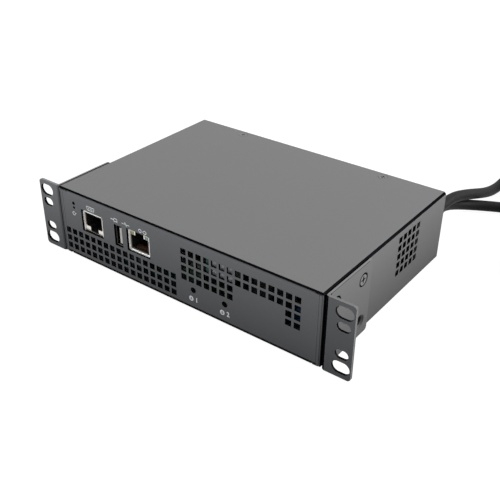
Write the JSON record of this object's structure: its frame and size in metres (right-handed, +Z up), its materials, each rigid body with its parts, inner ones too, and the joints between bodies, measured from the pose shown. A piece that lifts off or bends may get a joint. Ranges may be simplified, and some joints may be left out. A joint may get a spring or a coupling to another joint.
{
  "type": "rack power distribution unit",
  "caption": "Slim half-width rack power unit in black steel with slotted rack ears, vents, network and serial jacks, rear outlets and two corded power inputs.",
  "frame": {"origin": "on the standing surface, under the middle of the unit without its cords, glands and plugs", "axes": "+X to the right along the front panel as seen from the front, +Y from the front panel to the rear, +Z up"},
  "size_m": [0.349, 0.3405, 0.0444],
  "materials": {
    "black_coat": "fine-textured black powder coat",
    "black_screw": "black oxide, satin",
    "steel_screw": "zinc plated",
    "board_green": "solder mask",
    "jack_metal": "tin plated",
    "black_plastic": "moulded",
    "gold_contact": "gold plated",
    "amber_lens": "light guide",
    "green_lens": "light guide",
    "white_plastic": "moulded",
    "chip_black": "moulded resin",
    "relay_plastic": "moulded",
    "capacitor_grey": "moulded box",
    "ferrite": "wound, lacquered",
    "winding_tape": "tape",
    "capacitor_sleeve": "shrink sleeve",
    "fuse_glass": "ceramic tube in clips",
    "disc_blue": "dipped resin",
    "light_lens": "diffused resin",
    "terminal_green": "moulded",
    "sheet_film": "polyester film",
    "outlet_black": "moulded",
    "contact_brass": "plain",
    "wire_black": "insulated",
    "wire_white": "insulated",
    "wire_green": "insulated",
    "cord_black": "matt cable jacket",
    "plug_black": "moulded plug"
  },
  "bodies": {
    "unit": {"bottom_tray": "black_coat", "top_cover": "black_coat", "rack_ear_left": "black_coat", "rack_ear_right": "black_coat", "ear_screws": "black_screw", "cover_screws": "black_screw", "ear_nuts": "steel_screw", "network_board": "board_green", "power_board": "board_green", "control_board": "board_green", "power_standoffs": "steel_screw", "network_standoffs": "steel_screw", "network_board_screws": "steel_screw", "power_board_screws": "steel_screw", "insulating_sheet": "sheet_film", "serial_jack_shield": "jack_metal", "serial_jack_housing": "black_plastic", "serial_jack_contacts": "gold_contact", "network_jack_shield": "jack_metal", "network_jack_housing": "black_plastic", "network_jack_contacts": "gold_contact", "link_light_amber": "amber_lens", "link_light_green": "green_lens", "usb_shell": "jack_metal", "usb_tongue": "white_plastic", "usb_contacts": "gold_contact", "reset_switch": "black_plastic", "status_light": "light_lens", "processor_chip": "chip_black", "film_capacitor": "capacitor_grey", "relay_1": "relay_plastic", "relay_2": "relay_plastic", "relay_3": "relay_plastic", "relay_4": "relay_plastic", "board_connector": "black_plastic", "service_header": "white_plastic", "surge_discs": "disc_blue", "filter_choke": "ferrite", "supply_transformer": "winding_tape", "bulk_capacitors": "capacitor_sleeve", "fuses": "fuse_glass", "outlet_lights": "light_lens", "light_holders": "black_plastic", "terminal_blocks": "terminal_green", "outlet_1": "outlet_black", "outlet_2": "outlet_black", "outlet_contacts": "contact_brass", "line_wires": "wire_black", "neutral_wires": "wire_white", "earth_wires": "wire_green", "cord_gland_1": "plug_black", "cord_gland_2": "plug_black", "cord_1": "cord_black", "cord_2": "cord_black", "cord_coil_1": "cord_black", "cord_coil_2": "cord_black", "cord_plug_1": "plug_black", "cord_plug_2": "plug_black", "plug_pins": "contact_brass"},
    "reset_button": {"reset_plunger": "white_plastic"}
  },
  "joints": [
    {"name": "reset_press", "type": "slide", "parent": "unit", "child": "reset_button", "axis": [0, 1, 0], "range_m": [0, 0.0003], "stiffness_N_per_m": 4000}
  ]
}
